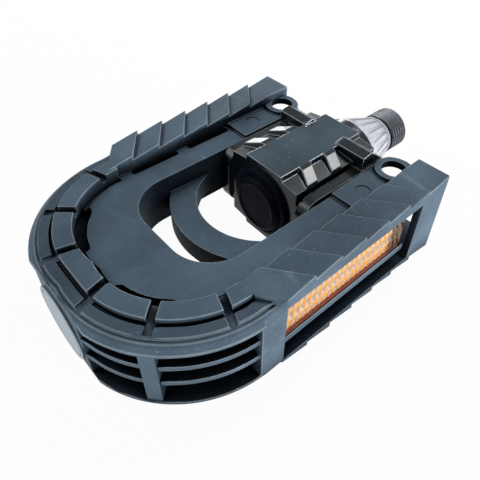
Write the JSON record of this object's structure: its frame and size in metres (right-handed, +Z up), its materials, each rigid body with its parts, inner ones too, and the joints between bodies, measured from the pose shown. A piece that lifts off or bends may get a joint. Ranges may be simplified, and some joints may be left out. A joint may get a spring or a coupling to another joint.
{
  "type": "folding bicycle pedal",
  "caption": "Folding bicycle pedal: a moulded platform with tread wedges and side reflectors hinged on a toothed core that turns on a threaded spindle.",
  "frame": {"origin": "on the spindle axis at the shoulder where the crank thread begins", "axes": "+X along the spindle towards the crank, +Z up through the tread face, platform symmetric about the XZ plane"},
  "size_m": [0.1274, 0.075, 0.03],
  "materials": {
    "platform_plastic": "fine matt moulded glass-filled nylon",
    "amber": "moulded prismatic reflector",
    "core_paint": "black paint over an aluminium die casting",
    "cap_plastic": "satin moulded plastic",
    "sleeve_plastic": "grey moulded plastic",
    "seal_rubber": "matt",
    "steel": "turned, zinc plated",
    "spring_steel": "drawn wire",
    "bearing_steel": "polished",
    "black_steel": "black oxide"
  },
  "bodies": {
    "axle": {"spindle": "black_steel", "dust_sleeve": "sleeve_plastic", "bearing_cone": "steel", "tab_washer": "steel", "lock_nut": "steel"},
    "core": {"core_barrel": "core_paint", "end_cap": "cap_plastic", "near_cup": "steel", "far_cup": "steel", "near_balls": "bearing_steel", "far_balls": "bearing_steel", "dust_seal": "seal_rubber", "push_spring_right": "spring_steel", "push_spring_left": "spring_steel"},
    "carriage": {"slider_right": "steel", "slider_left": "steel"},
    "platform": {"platform_body": "platform_plastic", "reflector_right": "amber", "reflector_left": "amber", "hinge_pin_right": "steel", "hinge_pin_left": "steel"}
  },
  "joints": [
    {"name": "spin", "type": "hinge", "parent": "axle", "child": "core", "pos_m": [-0.035, 0, 0], "axis": [1, 0, 0], "continuous": true},
    {"name": "push", "type": "slide", "parent": "core", "child": "carriage", "axis": [1, 0, 0], "range_m": [0, 0.004], "stiffness_N_per_m": 1500, "springref_m": -0.004, "deforming": ["push_spring_right", "push_spring_left"]},
    {"name": "fold", "type": "hinge", "parent": "carriage", "child": "platform", "pos_m": [-0.04, 0, 0], "axis": [0, 1, 0], "range_deg": [0, 90]}
  ]
}
